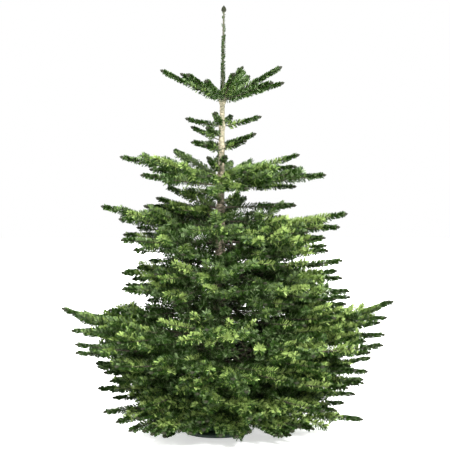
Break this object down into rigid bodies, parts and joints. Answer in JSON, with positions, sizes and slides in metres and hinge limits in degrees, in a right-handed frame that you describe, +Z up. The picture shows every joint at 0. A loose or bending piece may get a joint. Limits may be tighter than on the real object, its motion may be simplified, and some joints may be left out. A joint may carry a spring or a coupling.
{
  "type": "christmas tree",
  "caption": "Cut fir for indoors: a slender leaning trunk with a bare leader, tiers of needled boughs and a plain round stand.",
  "frame": {"origin": "middle of the stand's flat underside, on the floor", "axes": "+Z up the trunk, +X to the viewer's right, -Y the front of the tree"},
  "size_m": [1.4183, 1.1985, 1.795],
  "materials": {
    "bark": "rough grey-brown bark",
    "limb_wood": "rough brown bark",
    "needles": "glossy green needles, paler below",
    "stand_plastic": "satin dark green",
    "steel": "zinc-plated"
  },
  "bodies": {
    "root": {"bough_tier_6_a": "limb_wood", "bough_tier_6_b": "limb_wood", "bough_tier_6_c": "limb_wood", "bough_tier_6_d": "limb_wood", "foliage_between_2_3_a": "needles", "foliage_between_2_3_b": "needles", "foliage_between_3_4_a": "needles", "foliage_between_3_4_b": "needles", "foliage_tier_1_a": "needles", "foliage_tier_1_b": "needles", "foliage_tier_1_c": "needles", "foliage_tier_1_d": "needles", "foliage_tier_1_e": "needles", "foliage_tier_1_f": "needles", "foliage_tier_2_a": "needles", "foliage_tier_2_b": "needles", "foliage_tier_2_c": "needles", "foliage_tier_3_a": "needles", "foliage_tier_3_b": "needles", "foliage_tier_3_c": "needles", "foliage_tier_3_d": "needles", "foliage_tier_3_e": "needles", "foliage_tier_3_f": "needles", "foliage_tier_3_g": "needles", "foliage_tier_4_a": "needles", "foliage_tier_4_b": "needles", "foliage_tier_4_c": "needles", "foliage_tier_4_d": "needles", "foliage_tier_4_e": "needles", "foliage_tier_4_f": "needles", "foliage_tier_4_g": "needles", "foliage_tier_5_a": "needles", "foliage_tier_5_b": "needles", "foliage_tier_5_c": "needles", "foliage_tier_5_d": "needles", "foliage_tier_5_e": "needles", "foliage_tier_5_f": "needles", "foliage_tier_6_a": "needles", "foliage_tier_6_b": "needles", "foliage_tier_6_c": "needles", "foliage_tier_6_d": "needles", "foliage_tier_6_low_a": "needles", "foliage_tier_6_low_b": "needles", "foliage_tier_6_low_c": "needles", "foliage_tier_6_low_d": "needles", "foliage_tier_7_a": "needles", "foliage_tier_7_b": "needles", "foliage_tier_7_c": "needles", "foliage_tier_7_d": "needles", "foliage_tier_8_a": "needles", "foliage_tier_8_b": "needles", "foliage_tier_8_c": "needles", "foliage_tier_8_d": "needles", "foliage_tier_8_e": "needles", "foliage_tier_8_f": "needles", "stand_base": "stand_plastic", "stand_screw_1": "steel", "stand_screw_2": "steel", "stand_screw_3": "steel", "trunk": "bark"}
  },
  "joints": []
}
